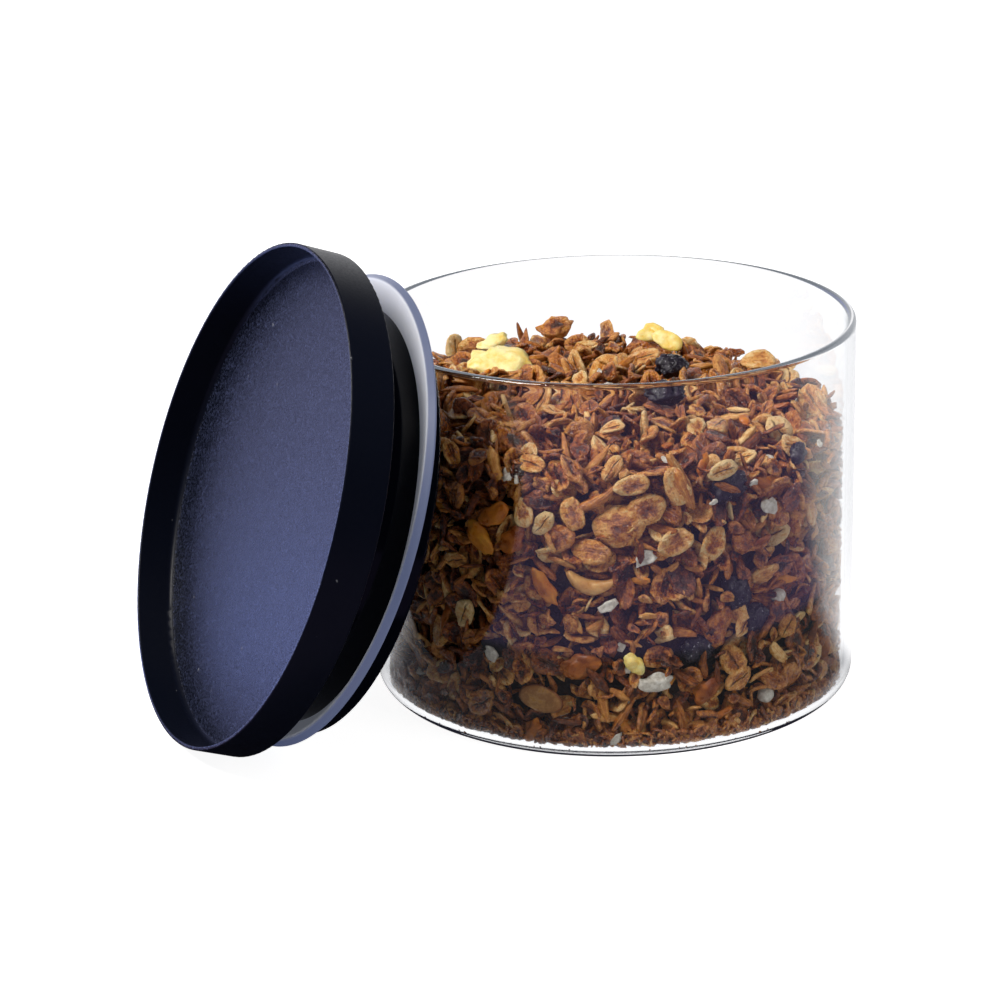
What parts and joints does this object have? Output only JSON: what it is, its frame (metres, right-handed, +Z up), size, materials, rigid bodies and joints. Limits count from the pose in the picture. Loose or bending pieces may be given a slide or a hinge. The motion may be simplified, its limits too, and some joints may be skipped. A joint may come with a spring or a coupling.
{
  "type": "glass storage jar with stackable lid",
  "caption": "Low, wide clear glass jar filled with granola, with a black tray-shaped stackable lid, sealed by a silicone ring, leaning against its rim.",
  "frame": {"origin": "centre of the jar's flat base, on the surface it stands on", "axes": "+Z up along the jar's axis; the lid leans on the -X side, and X-Z is the mirror plane"},
  "size_m": [0.2155, 0.148, 0.1434],
  "materials": {
    "clear_glass": "polished, clear",
    "granola": "loose toasted flakes",
    "lid_matte": "fine-grained matte",
    "plug_gloss": "gloss",
    "silicone": "translucent satin"
  },
  "bodies": {
    "jar": {"glass_jar": "clear_glass", "granola_bed": "granola"},
    "lid": {"lid_cover": "lid_matte", "lid_plug": "plug_gloss", "silicone_gasket": "silicone"}
  },
  "joints": [
    {"name": "lid_lift", "type": "slide", "parent": "jar", "child": "lid", "axis": [0, 0, 1], "range_m": [0, 0.14]}
  ]
}
